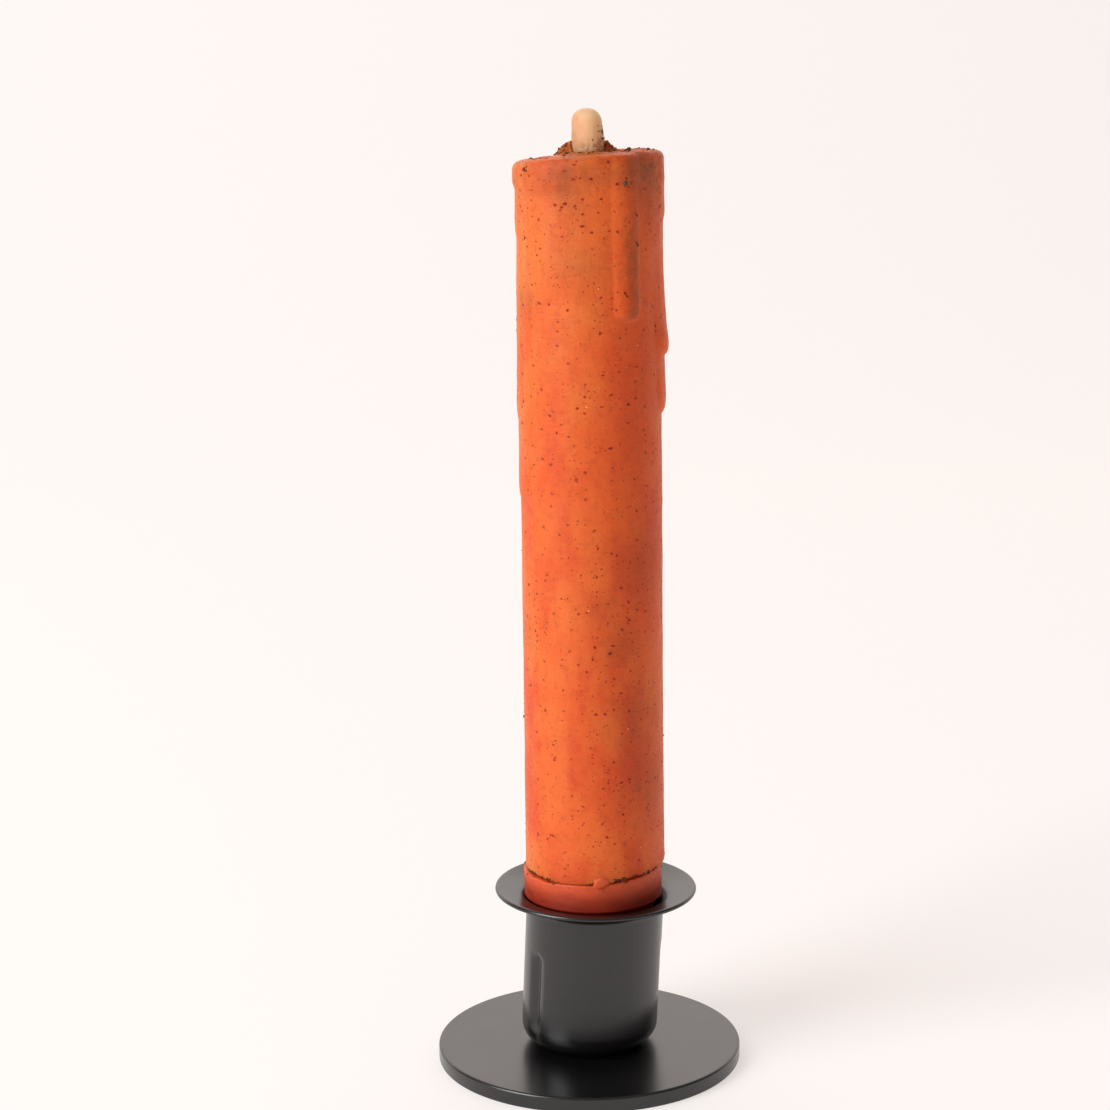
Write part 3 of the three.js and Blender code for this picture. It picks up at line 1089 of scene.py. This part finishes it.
@dataclass
class CandleBody:
    """The long wax body above the seam."""

    axis_x: float
    bottom: float
    gap: float
    seam: Seam
    noise: Noise
    bottom_radius: float = 11.9
    top_radius: float = 11.65
    edge: float = 0.32
    rim: float = 154.6
    rim_tilt: float = 0.065
    tilt_span: tuple[float, float] = (138.0, 150.0)
    lip_round: float = 1.6
    lip_bottom: float = 149.3
    lip_thickness: float = 0.28
    lip_lean: float = 0.60
    pool_radius: float = 7.8
    pool_depth: float = 0.7
    mound_radius: float = 3.1
    mound_top: float = 156.6
    mound_foot: float = 5.6
    mound_dip: float = 1.7
    mound_shift: float = -0.55
    hump: float = 0.30
    hump_azimuth: float = 140.0
    hump_spread: float = 0.55
    pocket: float = 2.84
    pocket_floor: float = 154.6
    bore: float = 1.2
    columns: int = 284
    wall_rows: int = 268

    def profile(self) -> np.ndarray:
        """Section of the body before anything is moved.

        It runs from the bore along the underside, up the wall, over the rounded rim, down to
        the melted pool, up the mound round the wick, and down its pocket and bore.

        Returns:
            Rows of radius and height.
        """
        wall_top = self.rim - self.lip_round
        wall_bottom = self.bottom + self.edge
        pool = self.rim - self.pool_depth
        rim_centre = (self.top_radius - self.lip_round, wall_top)
        slope = np.linspace(0.0, 1.0, 17)
        cone = self.mound_foot + (self.mound_radius - self.mound_foot) * slope
        lift = pool + (self.mound_top - pool) * (0.30 + 0.70 * slope**1.15)
        inner = self.top_radius - self.lip_round
        return section(
            line((self.bore, self.bottom), (self.bottom_radius - self.edge, self.bottom), 12),
            arc((self.bottom_radius - self.edge, wall_bottom), self.edge, -90.0, 0.0, 6),
            line((self.bottom_radius, wall_bottom), (self.top_radius, wall_top), self.wall_rows),
            arc(rim_centre, self.lip_round, 0.0, 90.0, 16),
            line((inner, self.rim), (self.pool_radius, pool), 10),
            line((self.pool_radius, pool), (self.mound_foot, lift[0]), 9),
            np.stack([cone, lift], axis=-1),
            line((self.mound_radius, self.mound_top), (self.pocket, self.mound_top), 1),
            line((self.pocket, self.mound_top), (self.pocket, self.pocket_floor), 3),
            line((self.pocket, self.pocket_floor), (self.bore, self.pocket_floor), 2),
            line((self.bore, self.pocket_floor), (self.bore, self.bottom), 12)[:-1],
        )

    def lip_edge(self, azimuth: np.ndarray) -> np.ndarray:
        """Height of the wavy line where the rim's lip begins."""
        return self.lip_bottom + 0.5 * np.sin(3 * azimuth + 1) + 0.35 * np.sin(7 * azimuth)

    def coat(self, azimuth: np.ndarray, height: np.ndarray, points: np.ndarray) -> np.ndarray:
        """Thickness of all that set on the wall: runs, the rim's lip and uneven wax.

        Args:
            azimuth: Azimuth of each point.
            height: Height of each point.
            points: The points themselves.

        Returns:
            Thickness in millimetres, a little under nothing in the hollows.
        """
        runs = sum(run.on(azimuth, height, self.top_radius) for run in RUNS)
        lip = self.lip_thickness * ease(height - self.lip_edge(azimuth), 0.0, 1.6)
        lip *= 1.0 - self.lip_lean * np.sin(azimuth)
        near_rim = ease(height, 120.0, 152.0)
        swells = self.noise.layered(points, 9.0) * (0.10 + 0.05 * near_rim)
        lumps = self.noise.layered(points + 40.0, 2.6) * (0.04 + 0.05 * near_rim)
        return runs + lip + swells + lumps

    def stain(self, azimuth: np.ndarray, height: np.ndarray) -> np.ndarray:
        """How brown the wax is: the lip, the front run's shaded side, and the patches.

        Args:
            azimuth: Azimuth of each point.
            height: Height of each point.

        Returns:
            Share from 0 to 1.
        """
        lip = 0.34 * ease(height - self.lip_edge(azimuth), -2.0, 2.5)
        lip *= 0.80 + 0.30 * np.sin(azimuth)
        inside = FRONT_RUN.inside(azimuth, height, self.top_radius)
        across = FRONT_RUN.across(azimuth, height, self.top_radius)
        run = 0.46 * ease(inside, 0.05, 0.65) * ease(across, -0.65, 0.25)
        run *= 1.0 - 0.8 * ease(height, 140.0, 148.0)
        patches = sum(patch.on(azimuth, height, self.top_radius) for patch in STAINS)
        return np.clip(lip + run + patches, 0.0, 1.0)

    def marks(self, azimuth: np.ndarray, height: np.ndarray) -> dict[str, np.ndarray]:
        """The body's marks: how brown and how speckled the wax is, and where ochre is painted.

        The fade mark is painted light: an ochre tint on the lit front left, most of all near the top.

        Args:
            azimuth: Azimuth of each point.
            height: Height of each point.

        Returns:
            Shares from 0 to 1 by the mark's name.
        """
        grime = sum(patch.on(azimuth, height, self.top_radius) for patch in GRIME)
        # Painted light: the fade mark tints the lit front left ochre.
        left = 1.0 - 0.9 * ease(np.sin(azimuth), -0.10, 0.60)
        fade = (0.42 + 0.38 * ease(height, 95.0, 146.0)) * left * ease(np.cos(azimuth), -0.6, 0.2)
        stain = self.stain(azimuth, height)
        return {"stain": stain, "grime": np.clip(grime, 0.0, 1.0), "fade": fade}

    def surface(self) -> Surface:
        """The body's points, with its marks.

        The wall is pushed out by its coat. The top rises towards +X and in a hump at the far
        right, dips in front of the wick, and is roughened where it melted. The underside's
        edge follows the seam.

        Returns:
            The closed surface.
        """
        azimuths = around(self.columns)
        profile = self.profile()
        points = revolve(profile, azimuths).copy()
        azimuth = np.broadcast_to(azimuths[:, None], points.shape[:2])
        offset = np.broadcast_to(profile[None, :, 0], points.shape[:2])
        height = points[..., 2].copy()
        outer = ease(offset, self.top_radius - 1.6, self.top_radius - 0.4)
        outer = outer * (height > self.bottom + 0.01)
        coat = self.coat(azimuth, height, points) * outer
        points[..., :2] *= (1.0 + coat / offset)[..., None]

        tilt = ease(height, *self.tilt_span) * ease(offset, self.pocket, self.pool_radius)
        mound = ease(height, self.rim, self.mound_top) * (offset > self.pocket - 0.1)
        front = ease(-points[..., 1], 0.0, 0.5 * self.mound_radius)
        points[..., 2] += self.rim_tilt * points[..., 0] * tilt - self.mound_dip * mound * front
        top = ease(height, self.rim - 1.0, self.rim - 0.2)
        melt = 0.20 * self.noise.layered(points + 11.0, 2.2)
        ragged = 0.45 * self.noise.layered(points + 55.0, 1.3) * mound
        points[..., 2] += top * (melt * ease(offset, self.pocket, 4.2) + ragged)
        turn = turn_between(azimuth, math.radians(self.hump_azimuth))
        far_right = np.exp(-((turn / self.hump_spread) ** 2))
        points[..., 2] += self.hump * far_right * top * ease(offset, 6.5, 9.0)
        skirt = mound * (1.0 - ease(height, self.rim + 0.5, self.mound_top))
        points[..., 0] += self.mound_shift * skirt * (offset > self.pocket + 0.1)

        hem = 1.0 - ease(height, self.bottom, self.bottom + self.seam.fade)
        hem = hem * ease(offset, self.bottom_radius - 5.0, self.bottom_radius - 0.8)
        points[..., 2] += hem * self.seam.shift(azimuth, self.gap, 1.0)
        points[..., 0] += self.axis_x
        return Surface(points, Ends.RING, self.marks(azimuth, height))


@dataclass
class CandleFoot:
    """The length of wax below the seam, standing in the cup."""

    extent: Extent
    gap: float
    seam: Seam
    noise: Noise
    flare_x: float = 13.64
    flare_height: float = 26.57
    shoulder: float = 3.35
    plug_radius: float = 9.0
    edge: float = 0.32
    bore: float = 1.8
    columns: int = 240

    def surface(self) -> Surface:
        """The foot: a conical plug, a shoulder shaped by the flare, and a band.

        The band swells and dips by a tenth of a millimetre, and its upper edge follows the
        seam.

        Returns:
            The closed surface.
        """
        radius = self.extent.radius
        low, top = float(self.extent.low[2]), float(self.extent.high[2])
        last = math.degrees(math.acos((radius - self.flare_x) / self.shoulder))
        shoulder = arc((self.flare_x, self.flare_height), self.shoulder, 180.0, last, 12)
        profile = section(
            line((self.bore, low), (self.plug_radius - self.edge, low), 6),
            arc((self.plug_radius - self.edge, low + self.edge), self.edge, -90.0, 0.0, 4),
            line((self.plug_radius, low + self.edge), tuple(shoulder[0]), 12),
            shoulder,
            line(tuple(shoulder[-1]), (radius, top - self.edge), 26),
            arc((radius - self.edge, top - self.edge), self.edge, 0.0, 90.0, 6),
            line((radius - self.edge, top), (self.bore, top), 12),
            line((self.bore, top), (self.bore, low), 8)[:-1],
        )
        azimuths = around(self.columns)
        points = revolve(profile, azimuths).copy()
        azimuth = np.broadcast_to(azimuths[:, None], points.shape[:2])
        offset = np.broadcast_to(profile[None, :, 0], points.shape[:2])
        height = points[..., 2].copy()
        band = ease(offset, radius - 1.2, radius - 0.3) * ease(height, 29.0, 30.5)
        swell = 0.10 * self.noise.layered(points + 21.0, 5.0) - 0.04
        points[..., :2] *= (1.0 + band * swell / offset)[..., None]
        hem = ease(height, top - self.seam.fade, top) * ease(offset, radius - 5.0, radius - 0.8)
        points[..., 2] += hem * self.seam.shift(azimuth, self.gap, -1.0)
        points[..., 0] += self.extent.centre_x
        return Surface(points, Ends.RING)


@dataclass
class Wick:
    """The pale end above the wax and the core that runs down to the foot."""

    extent: Extent
    noise: Noise
    base_radius: float = 2.7
    neck_radius: float = 2.46
    dome_height: float = 2.2
    bluntness: float = 0.95
    nub_bottom: float = 154.9
    mound_top: float = 156.8
    core: float = 0.9
    tip_shift: float = -0.32
    columns: int = 96

    def surface(self) -> Surface:
        """The wick: a thin core, a nub that narrows upwards, and a rounded tip.

        The nub bends towards -X by a share of its height, and is slightly lumpy.

        Returns:
            The closed surface.
        """
        low, tip = float(self.extent.low[2]), float(self.extent.high[2])
        shoulder = tip - self.dome_height
        ring = arc((0.0, 0.0), 1.0, 0.0, 90.0, 18)
        dome = np.abs(ring) ** self.bluntness * [self.neck_radius, self.dome_height] + [0.0, shoulder]
        dome[-1, 0] = 0.0
        profile = section(
            line((0.0, low), (self.core, low), 2),
            line((self.core, low), (self.core, self.nub_bottom), 8),
            line((self.core, self.nub_bottom), (self.base_radius, self.nub_bottom), 3),
            line((self.base_radius, self.nub_bottom), (self.base_radius, self.mound_top), 8),
            line((self.base_radius, self.mound_top), (self.neck_radius, shoulder), 24),
            dome,
        )
        points = revolve(profile, around(self.columns)).copy()
        height = points[..., 2]
        rise = ease(height, self.mound_top - 1.0, tip)
        lumps = 0.13 * self.noise.layered(points * [1.0, 1.0, 0.7] + 90.0, 1.9)
        points[..., :2] *= (1.0 + rise * lumps / self.neck_radius)[..., None]
        points[..., 0] += self.tip_shift * ease(height, self.nub_bottom, tip)
        points[..., 0] += self.extent.centre_x
        return Surface(points, Ends.POLES)


@dataclass
class SeamDrop:
    """A flat drop of wax that spilled over the seam."""

    centre: tuple[float, float, float]
    noise: Noise
    azimuth: float = 6.0
    half_width: float = 1.30
    half_height: float = 1.02
    half_depth: float = 0.50
    columns: int = 40
    rows: int = 22

    def surface(self) -> Surface:
        """The drop: a ball squeezed to three different half sizes, made lumpy by noise.

        Returns:
            The closed surface.
        """
        angles = np.linspace(-90.0, 90.0, self.rows + 1)
        profile = np.stack([np.cos(np.radians(angles)), np.sin(np.radians(angles))], axis=-1)
        points = revolve(profile, around(self.columns))
        points = points * (1.0 + 0.32 * self.noise.layered(points + 60.0, 0.7))[..., None]
        points = points * [self.half_width, self.half_depth, self.half_height]
        turn = math.radians(self.azimuth)
        x = points[..., 0] * math.cos(turn) - points[..., 1] * math.sin(turn)
        y = points[..., 0] * math.sin(turn) + points[..., 1] * math.cos(turn)
        return Surface(np.stack([x, y, points[..., 2]], axis=-1) + self.centre, Ends.POLES)


# ---- Crumbs -----------------------------------------------------------------------------


def pebble() -> tuple[np.ndarray, np.ndarray]:
    """A coarse ball: an octahedron with each edge halved and pushed out to the sphere.

    Returns:
        Its 18 points at a radius of 1, and its 32 triangles.
    """
    tips = np.array([[1, 0, 0], [-1, 0, 0], [0, 1, 0], [0, -1, 0], [0, 0, 1], [0, 0, -1]], float)
    points = [tuple(tip) for tip in tips]
    triangles = []
    for x in (0, 1):
        for y in (2, 3):
            for z in (4, 5):
                corners = [x, y, z] if (x + y + z) % 2 == 0 else [x, z, y]
                middles = []
                for first, second in ((0, 1), (1, 2), (2, 0)):
                    middle = tips[corners[first]] + tips[corners[second]]
                    middle = tuple(middle / np.linalg.norm(middle))
                    if middle not in points:
                        points.append(middle)
                    middles.append(points.index(middle))
                a, b, c = corners
                ab, bc, ca = middles
                triangles += [[a, ab, ca], [ab, b, bc], [ca, bc, c], [ab, bc, ca]]
    return np.array(points), np.array(triangles)


@dataclass(frozen=True)
class Scatter:
    """Crumbs strewn over the points of a surface."""

    name: str
    count: int
    seed: int
    small: float
    large: float
    tone_and_shade: float = 0.3

    def over(self, points: np.ndarray, chance: np.ndarray) -> bpy.types.Object:
        """Makes the crumbs as one mesh.

        Each crumb is a coarse ball with its corners moved in and out, stretched and turned
        at random, and sunk a little towards the surface's axis and downwards.

        Args:
            points: Columns by rows by x, y, z of the surface.
            chance: Relative chance of a crumb at each point.

        Returns:
            The crumbs' object.
        """
        draws = np.random.default_rng(self.seed)
        ball, triangles = pebble()
        weight = (chance / chance.sum()).ravel()
        picked = draws.choice(weight.size, self.count, replace=False, p=weight)
        axis = points.mean(axis=0, keepdims=True) - [0.0, 0.0, 2.0]
        inward = (np.broadcast_to(axis, points.shape) - points).reshape(-1, 3)[picked]
        inward /= np.linalg.norm(inward, axis=1, keepdims=True)
        size = self.small + (self.large - self.small) * draws.random(self.count) ** 2.2
        centre = points.reshape(-1, 3)[picked] + inward * (size * self.tone_and_shade)[:, None]

        jagged = 1.0 + draws.uniform(-0.35, 0.25, (self.count, len(ball), 1))
        stretch = draws.uniform(0.50, 1.30, (self.count, 1, 3))
        turns = np.linalg.qr(draws.normal(size=(self.count, 3, 3)))[0]
        turns *= np.sign(np.linalg.det(turns))[:, None, None]
        shapes = np.einsum("nij,nvj->nvi", turns, ball[None] * jagged * stretch)
        vertices = centre[:, None, :] + shapes * size[:, None, None]
        faces = triangles[None] + (np.arange(self.count) * len(ball))[:, None, None]
        return mesh_object(self.name, vertices.reshape(-1, 3), faces.reshape(-1, 3).tolist())


GRAINS = (
    Patch(39.8, 140.3, 0.30, 1.0),
    Patch(28.4, 150.0, 0.30, 0.7),
    Patch(-57.0, 153.0, 0.30, 0.8),
    Patch(13.4, 73.8, 0.30, 0.8),
)


@dataclass
class Candle:
    """Foot, body, wick, the drop on the seam, and the crumbs."""

    foot: Extent
    wick: Extent
    seam_gap: float = 0.45
    seed: int = 5

    def build(self) -> list[bpy.types.Object]:
        """Makes and dresses every piece of the candle.

        Returns:
            The body, the foot, the wick, the drop and the crumbs.
        """
        noise = Noise(self.seed)
        seam = Seam(noise)
        seam_height = float(self.foot.high[2])
        body = CandleBody(self.wick.centre_x, seam_height + self.seam_gap, self.seam_gap, seam, noise)
        foot = CandleFoot(self.foot, self.seam_gap, seam, noise)
        wick = Wick(self.wick, noise)
        drop = SeamDrop((body.axis_x + 0.75, -11.78, seam_height + 0.12), noise)
        body_wax, foot_wax = BodyWax().build(), FootWax().build()
        body_skin, foot_skin, wick_skin = body.surface(), foot.surface(), wick.surface()
        pieces = [
            settle(body_skin.to_object("body_skin"), body_wax, "candle_body"),
            settle(foot_skin.to_object("foot_skin"), foot_wax, "candle_foot"),
            settle(wick_skin.to_object("wick_skin"), WickWax().build(), "wick"),
            settle(drop.surface().to_object("seam_drop"), foot_wax),
        ]
        grit, rust = Grit().build(), RUST.build()
        crumbs = self.strew_body(body, body_skin.points) + [
            self.strew_ledge(foot_skin.points),
            self.strew_wick(body, wick_skin.points),
        ]
        finishes = {"side_grains": rust, "wax_crumbs": body_wax}
        for crumb in crumbs:
            settle(crumb, finishes.get(crumb.name, grit))
        return pieces + crumbs

    def strew_body(self, body: CandleBody, points: np.ndarray) -> list[bpy.types.Object]:
        """Strews crumbs over the top, the side and the lower edge of the body.

        Args:
            body: The body that the crumbs lie on.
            points: Its surface.

        Returns:
            One object for each kind of crumb.
        """
        profile = body.profile()
        offset = np.broadcast_to(profile[None, :, 0], points.shape[:2])
        height = np.broadcast_to(profile[None, :, 1], points.shape[:2])
        azimuth = np.broadcast_to(around(body.columns)[:, None], points.shape[:2])
        step = np.gradient(profile[:, 1]) ** 2 + np.gradient(profile[:, 0]) ** 2
        area = offset * np.sqrt(step)[None, :]
        facing = np.abs(turn_between(azimuth, math.pi))

        # On the top: thick round the wick, above all at its two sides, and along the far rim.
        on_top = (height > body.rim - 0.6) & (offset > body.mound_radius - 0.01)
        near_wick = 1.0 - ease(offset, 3.6, 6.2)
        near_wick = near_wick * (0.60 + ease(np.abs(np.sin(azimuth)), 0.3, 0.9))
        far_rim = ease(offset, 7.0, 8.5) * (1.0 - ease(offset, 9.6, 10.6))
        far_rim = far_rim * (1.0 - ease(facing, 1.2, 1.8))
        top = on_top * area * (0.04 + 2.4 * near_wick + 1.1 * far_rim)
        # On the wall: in clumps, and more where the body is marked with grime.
        wall = (height > body.bottom + 1.0) & (height < body.rim - 1.0)
        wall = wall & (offset > body.top_radius - 0.3)
        clumps = ease(Noise(17).layered(points, 7.0), -0.25, 0.6)
        side = wall * area * (0.15 + clumps)
        side = side * (0.6 + body.marks(azimuth, height)["grime"])
        # Along the lower edge: mostly where the seam gapes.
        hem = (height < body.bottom + 0.7) & (offset > body.bottom_radius - body.edge - 0.1)
        seam = hem * area * (ease(body.seam.gap(azimuth), 0.10, 0.35) + 0.04)
        spots = wall * sum(patch.on(azimuth, height, body.top_radius) for patch in GRAINS)
        return [
            Scatter("top_crumbs", 340, 3, 0.10, 0.42).over(points, top),
            Scatter("side_grains", 1100, 4, 0.06, 0.30, 0.55).over(points, side),
            Scatter("large_grains", 10, 9, 0.24, 0.50, 0.50).over(points, spots),
            Scatter("wax_crumbs", 260, 13, 0.12, 0.42, 0.35).over(points, on_top * area * near_wick),
            Scatter("seam_crumbs", 420, 6, 0.07, 0.34, 0.2).over(points, seam),
        ]

    def strew_ledge(self, points: np.ndarray) -> bpy.types.Object:
        """Strews crumbs over the foot's upper edge."""
        radius = np.hypot(points[..., 0] - self.foot.centre_x, points[..., 1])
        ledge = (points[..., 2] > float(self.foot.high[2]) - 1.4) & (radius > self.foot.radius - 0.5)
        return Scatter("ledge_crumbs", 110, 7, 0.05, 0.26, 0.3).over(points, ledge * 1.0)

    def strew_wick(self, body: CandleBody, points: np.ndarray) -> bpy.types.Object:
        """Strews crumbs over the wick, most of them on its right side near the wax."""
        low = 1.0 - ease(points[..., 2], body.mound_top - 0.4, 160.8)
        low = low * (points[..., 2] > body.mound_top - 1.4)
        right = ease(points[..., 0] - self.wick.centre_x, 0.8, 2.3) + 0.06
        return Scatter("wick_crumbs", 46, 8, 0.08, 0.30, 0.1).over(points, low * right)


# ---- Studio -----------------------------------------------------------------------------


@dataclass
class Studio:
    """Seamless paper, soft light from the left, and the camera."""

    floor_width: float = 3400.0
    floor_front: float = -900.0
    floor_back: float = 650.0
    curve: float = 420.0
    wall_top: float = 1500.0
    world_colour: Colour = rgb(1.0, 0.965, 0.945)
    world_strength: float = 0.30
    key_place: tuple[float, float, float] = (-1110.0, -700.0, 760.0)
    key_target: tuple[float, float, float] = (0.0, 0.0, 90.0)
    key_size: tuple[float, float] = (800.0, 1180.0)
    key_watts: float = 22.0
    key_colour: tuple[float, float, float] = (0.93, 0.96, 0.98)
    camera_place: tuple[float, float, float] = (-4.94, -394.28, 162.74)
    camera_pitch: float = 10.69
    camera_roll: float = -0.70
    lens: float = 77.54
    sensor: float = 36.0

    def build(self) -> None:
        """Makes the paper, the lights and the camera."""
        self.make_paper()
        self.light()
        self.make_camera()
        bpy.context.scene.view_settings.view_transform = "Standard"

    def make_paper(self) -> None:
        """A sheet that lies flat, curves up behind the object and stands."""
        start = (self.floor_front, 0.0)
        bend = arc((self.floor_back, self.curve), self.curve, -90.0, 0.0, 24)
        profile = section(
            line(start, tuple(bend[0]), 12),
            bend,
            line(tuple(bend[-1]), (self.floor_back + self.curve, self.wall_top), 6),
        )
        side = np.linspace(-self.floor_width / 2.0, self.floor_width / 2.0, 9)
        columns, rows = len(side), len(profile)
        across = np.broadcast_to(side[:, None], (columns, rows))
        depth = np.broadcast_to(profile[None, :, 0], (columns, rows))
        height = np.broadcast_to(profile[None, :, 1], (columns, rows))
        points = np.stack([across, depth, height], axis=-1)
        column, row = np.meshgrid(np.arange(columns - 1), np.arange(rows - 1), indexing="ij")
        corner = column * rows + row
        quads = np.stack([corner, corner + rows, corner + rows + 1, corner + 1], axis=-1)
        sheet = mesh_object("paper", points.reshape(-1, 3), quads.reshape(-1, 4).tolist())
        sheet.data.materials.append(Paper().build())

    def light(self) -> None:
        """Even light from the surroundings and one large soft lamp from the left."""
        world = bpy.data.worlds.new("room")
        world.use_nodes = True
        background = world.node_tree.nodes["Background"]
        background.inputs["Color"].default_value = self.world_colour
        background.inputs["Strength"].default_value = self.world_strength
        bpy.context.scene.world = world

        lamp = bpy.data.lights.new("key", "AREA")
        lamp.shape = "RECTANGLE"
        lamp.size, lamp.size_y = (side * MM for side in self.key_size)
        lamp.energy = self.key_watts
        lamp.color = self.key_colour
        key = bpy.data.objects.new("key", lamp)
        key.location = Vector(self.key_place) * MM
        aim = Vector(self.key_target) - Vector(self.key_place)
        key.rotation_euler = aim.to_track_quat("-Z", "Y").to_euler()
        bpy.context.scene.collection.objects.link(key)

    def make_camera(self) -> None:
        """The camera in front of the object and a little above it, looking slightly down."""
        data = bpy.data.cameras.new("camera")
        data.lens = self.lens
        data.sensor_width = self.sensor
        data.clip_start = 0.01
        camera = bpy.data.objects.new("camera", data)
        camera.location = Vector(self.camera_place) * MM
        aim = Euler((math.radians(90.0 - self.camera_pitch), 0.0, 0.0)).to_matrix()
        roll = Euler((0.0, 0.0, math.radians(self.camera_roll))).to_matrix()
        camera.rotation_euler = (aim @ roll).to_euler()
        bpy.context.scene.collection.objects.link(camera)
        bpy.context.scene.camera = camera


# ---- Assembly ---------------------------------------------------------------------------


def main() -> None:
    """Builds the studio and the sub-assemblies in order, and reports each piece."""
    logging.basicConfig(level=logging.INFO, format="%(name)s: %(message)s")
    Studio().build()
    holder = Holder(Extent.of("base_disc"), Extent.of("holder_cup"), Extent.of("cup_rivet"))
    candle = Candle(Extent.of("candle_foot"), Extent.of("wick"))
    for sub_assembly in (holder, candle):
        for piece in sub_assembly.build():
            faces = len(piece.data.polygons)
            LOG.info("%s: %d faces, finish %s", piece.name, faces, piece.data.materials[0].name)


if __name__ == "__main__":
    main()
